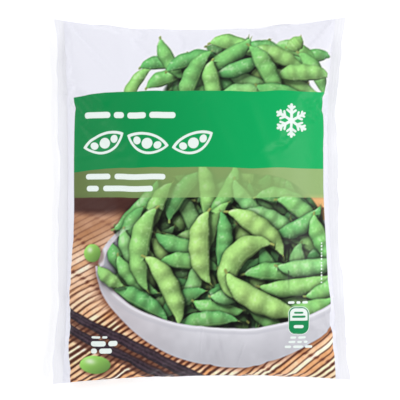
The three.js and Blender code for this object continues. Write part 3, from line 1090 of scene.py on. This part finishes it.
# Green on the badge: a plain bag with a bar on it, two bars over it, and the badge's outline.
green_in = np.minimum(slab(63.4, -95.6, 76.0, -77.4, 4.2), -86.6 - at_y)
green_in = np.maximum(green_in, slab(65.0, -84.6, 74.4, -83.0, 0.8))
green_in = np.maximum(green_in, slab(66.4, -81.6, 73.0, -80.2, 0.7))
green_in = np.maximum(green_in, 0.45 - abs(slab(63.2, -95.8, 76.2, -77.2, 4.4)))
green_in = np.minimum(green_in, -slab(66.2, -92.0, 73.2, -89.8, 1.1))

# What each point of the mesh carries: the ink, and how deep it lies in each plain shape.
# The picture runs a little way round the lower fold, and the back has a plain green band of its own.
point_count = len(pouch_points)
front_count = u_fine.size
WRAP_ENDS = -127.0
WRAP_HALF_WIDTH = 94.0
BACK_BAND = (40.0, 84.0)
BACK_BAND_HALF_WIDTH = 78.0
DEEPEST = 3
back_wrap = np.minimum(WRAP_ENDS - back_y, WRAP_HALF_WIDTH - abs(back_x))
back_band = np.minimum(BACK_BAND[1] - back_y, back_y - BACK_BAND[0])
back_band = np.minimum(back_band, BACK_BAND_HALF_WIDTH - abs(back_x))


def carry(name, values, behind=-DEEPEST):
    """A number on every point of the front, and on those of the back wall."""
    attribute = pouch_mesh.attributes.new(name, "FLOAT", "POINT")
    column = np.empty(point_count)
    column[:front_count] = np.clip(values, -DEEPEST, DEEPEST).ravel()
    column[front_count:] = np.clip(behind, -DEEPEST, DEEPEST)
    attribute.data.foreach_set("value", column)


carry("panel", panel_in, back_wrap)
carry("band", band_in, back_band)
carry("veil", veil_in)
carry("white_art", white_in)
carry("green_art", green_in)
carry("upper_heap", at_y - 74.6)
# across runs from 0 at the print's left to 1 at its right; it ramps the veil and the band's painted
# light.
carry("across", smooth_step(-95, 90, at_x), 0.5)
carry("welded", smooth_step(0.928, 0.940, abs(u_fine)), 0.0)
inks = np.ones((point_count, 4))
inks[:front_count, :3] = to_light(ink).reshape(-1, 3)
wrapped_y = np.where(back_y < 0, 2 * at_y.min() - back_y, PRINT_HALF_HEIGHT)
inks[front_count:, :3] = to_light(ink_at(back_x, wrapped_y))
ink_layer = pouch_mesh.attributes.new("ink", "FLOAT_COLOR", "POINT")
ink_layer.data.foreach_set("color", inks.ravel())
film_map = pouch_mesh.uv_layers.new(name="film")
loop_points = np.empty(len(pouch_mesh.loops), int)
pouch_mesh.loops.foreach_get("vertex_index", loop_points)
flat_places = np.concatenate([fine_flat.reshape(-1, 2), fine_flat[back_only]])
film_map.data.foreach_set("uv", flat_places[loop_points].ravel())

# The film's finish: white polythene with a satin gloss, printed in solid inks, with painted light on
# the green band and the welded seals.


def math_node(tree, operation, first, second=0.0, third=None):
    """The result of one sum in a material."""
    made = tree.nodes.new("ShaderNodeMath")
    made.operation = operation
    for socket, value in zip(made.inputs, (first, second, third)):
        if value is not None:
            plug(socket, value)
    return made.outputs[0]


def carried(tree, name, kind="Fac"):
    """What the mesh carries on its points under a name."""
    made = tree.nodes.new("ShaderNodeAttribute")
    made.attribute_name = name
    return made.outputs[kind]


def mixed(tree, share, first, second):
    """One colour laid over another by a share."""
    made = tree.nodes.new("ShaderNodeMix")
    made.data_type = "RGBA"
    colour_sockets = [s for s in made.inputs if s.type == "RGBA"]
    for socket, value in zip((made.inputs[0], *colour_sockets), (share, first, second)):
        plug(socket, value)
    return [s for s in made.outputs if s.type == "RGBA"][0]


def mask(tree, name, softness=0.2):
    """1 where the distance that the mesh carries is above 0, with a short soft edge."""
    distance = carried(tree, name)
    edge = node(tree, "ShaderNodeMapRange", Value=distance, From_Min=-softness, From_Max=softness)
    return edge.outputs["Result"]


# Blown film is never quite even: a fine grain and a soft crinkle, which both kinds of film share.
film_grain = bpy.data.node_groups.new("film grain", "ShaderNodeTree")
for name in ("Fine", "Coarse", "Depth"):
    film_grain.interface.new_socket(name, in_out="INPUT", socket_type="NodeSocketFloat")
film_grain.interface.new_socket("Normal", in_out="OUTPUT", socket_type="NodeSocketVector")
film_grain.interface.new_socket("Clouding", in_out="OUTPUT", socket_type="NodeSocketFloat")
asked = film_grain.nodes.new("NodeGroupInput").outputs
place = node(film_grain, "ShaderNodeTexCoord").outputs["Object"]
fine_grain = node(film_grain, "ShaderNodeTexNoise", Vector=place, Scale=asked["Fine"], Detail=3.0)
crinkle = node(film_grain, "ShaderNodeTexNoise", Vector=place, Scale=asked["Coarse"], Detail=5.0)
grain = math_node(film_grain, "MULTIPLY_ADD", fine_grain.outputs["Fac"], 0.12, crinkle.outputs["Fac"])
bump = node(film_grain, "ShaderNodeBump", Strength=0.35, Distance=asked["Depth"], Height=grain)
node(film_grain, "NodeGroupOutput", Normal=bump.outputs["Normal"], Clouding=crinkle.outputs["Fac"])


def grained(tree, fine, coarse, depth):
    """The film grain in a material, with its own scales in waves a metre and its depth in metres."""
    made = tree.nodes.new("ShaderNodeGroup")
    made.node_tree = film_grain
    return give(made, Fine=fine, Coarse=coarse, Depth=depth).outputs


film_finish, shader = new_material("printed satin film")
tree = film_finish.node_tree
one_layer = to_light(FILM_WHITE)
seal_white_and_highlight = to_light(rgb(247, 247, 252))
in_heap_part = mask(tree, "upper_heap", 0.4)
picture_share = math_node(tree, "MAXIMUM", mask(tree, "panel", 0.25), in_heap_part)
base = mixed(tree, picture_share, one_layer, carried(tree, "ink", "Color"))
# The welded seals are painted a brighter white: partly for their two layers of film, partly as a
# painted highlight.
base = mixed(tree, carried(tree, "welded"), base, seal_white_and_highlight)
veil_share = math_node(tree, "MULTIPLY", mask(tree, "veil"), 0.62)
across_share = carried(tree, "across")
veil_across = math_node(tree, "POWER", across_share, 0.45)
veil_green = mixed(tree, veil_across, to_light(rgb(102, 132, 72)), to_light(rgb(170, 210, 132)))
base = mixed(tree, veil_share, base, veil_green)
# The band's green is print; its rise from dark at the left to bright at the right is painted light
# and sheen from the right-hand side.
band_green_and_painted_sheen = mixed(tree, across_share, to_light(rgb(4, 138, 72)), to_light(rgb(6, 180, 98)))
base = mixed(tree, mask(tree, "band"), base, band_green_and_painted_sheen)
base = mixed(tree, mask(tree, "white_art"), base, to_light(rgb(240, 250, 245)))
base = mixed(tree, mask(tree, "green_art"), base, to_light(rgb(20, 140, 82)))
grain = grained(tree, 420.0, 38.0, 0.0010)
give(shader, Base_Color=base, Roughness=0.36, Specular_IOR_Level=0.2, Normal=grain["Normal"])
pouch_mesh.materials.append(film_finish)

# The fin seal: the tube's two long edges, welded together and folded flat against the back.
# It is two layers of plain white film with pressed ribs along it. It follows the back wall up
# at both sides, as far as the end seals, where the jaws press it in.

FIN_RIBS = 5
FIN_RIB_HEIGHT = 0.00004
FIN_GAP = 0.0004
FIN_REST = 0.00002
FIN_WAVE = 0.0004
FIN_WAVE_TURNS = 55
FIN_PRESSED = 0.00012
column_x = back[:, rows // 2, 0]
row_y = back[columns // 2, :, 1]
fin_left = column_x[SEAL_COLUMNS]
fin_right = column_x[-1 - SEAL_COLUMNS]

deselect_all()
bpy.ops.mesh.primitive_grid_add(
    x_subdivisions=120,
    y_subdivisions=20,
    size=1,
    location=((fin_left + fin_right) / 2, FIN_LOW + FIN_WIDTH / 2, 0),
)
fin = bpy.context.object
fin.name = "fin_seal"
bpy.ops.object.mode_set(mode="EDIT")
bpy.ops.mesh.select_all(action="SELECT")
bpy.ops.transform.resize(value=(fin_right - fin_left, FIN_WIDTH, 1))
bpy.ops.object.mode_set(mode="OBJECT")
bpy.ops.object.transform_apply(location=True, rotation=True, scale=True)
for point in fin.data.vertices:
    part = (point.co.y - FIN_LOW) / FIN_WIDTH
    column = round(float(np.interp(point.co.x, column_x, np.arange(columns))))
    row = round(float(np.interp(point.co.y, row_y, np.arange(rows))))
    point.co.z = FIN_RIB_HEIGHT * (1 - math.cos(2 * math.pi * FIN_RIBS * part)) + FIN_REST
    point.co.z += max(0.0, float(back[column, row, 2]) - FIN_THICKNESS - FIN_GAP)
    point.co.y += FIN_WAVE * math.sin(point.co.x * FIN_WAVE_TURNS)
layers = fin.modifiers.new("two layers", "SOLIDIFY")
layers.thickness = FIN_THICKNESS - FIN_PRESSED
layers.offset = 1
bpy.ops.object.modifier_apply(modifier=layers.name)
bpy.ops.object.shade_smooth_by_angle(angle=math.radians(40))

seal_finish, shader = new_material("plain white film")
tree = seal_finish.node_tree
grain = grained(tree, 500.0, 90.0, 0.0003)
whites = mixed(tree, grain["Clouding"], to_light(rgb(230, 230, 240)), to_light(rgb(244, 244, 250)))
give(shader, Base_Color=whites, Roughness=0.4, Normal=grain["Normal"])
fin.data.materials.append(seal_finish)
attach(fin, "root")

# The pods are frozen whole: green, finely haired, with a dull frost on them.
# Loose in the bag, they are the CAD pods as they are, with their own skin.

pod_finish, shader = new_material("frosted pod skin")
tree = pod_finish.node_tree
place = node(tree, "ShaderNodeTexCoord").outputs["Object"]
blotch = node(tree, "ShaderNodeTexNoise", Vector=place, Scale=60.0, Detail=4.0)
greens = mixed(tree, blotch.outputs["Fac"], to_light(rgb(84, 148, 66)), to_light(rgb(150, 196, 100)))
frost = node(tree, "ShaderNodeTexNoise", Vector=place, Scale=900.0, Detail=3.0)
frost = frost.outputs["Fac"]
frost_share = node(tree, "ShaderNodeMapRange", Value=frost, From_Min=0.5, From_Max=0.75)
frost_cover = math_node(tree, "MULTIPLY", frost_share.outputs["Result"], 0.45)
skin = mixed(tree, frost_cover, greens, to_light(rgb(232, 242, 232)))
skin_bump = node(tree, "ShaderNodeBump", Strength=0.4, Distance=0.0004, Height=frost)
give(shader, Base_Color=skin, Roughness=0.62, Normal=skin_bump.outputs["Normal"])
for pod in pod_nodes:
    pod.data.materials.clear()
    pod.data.materials.append(pod_finish)
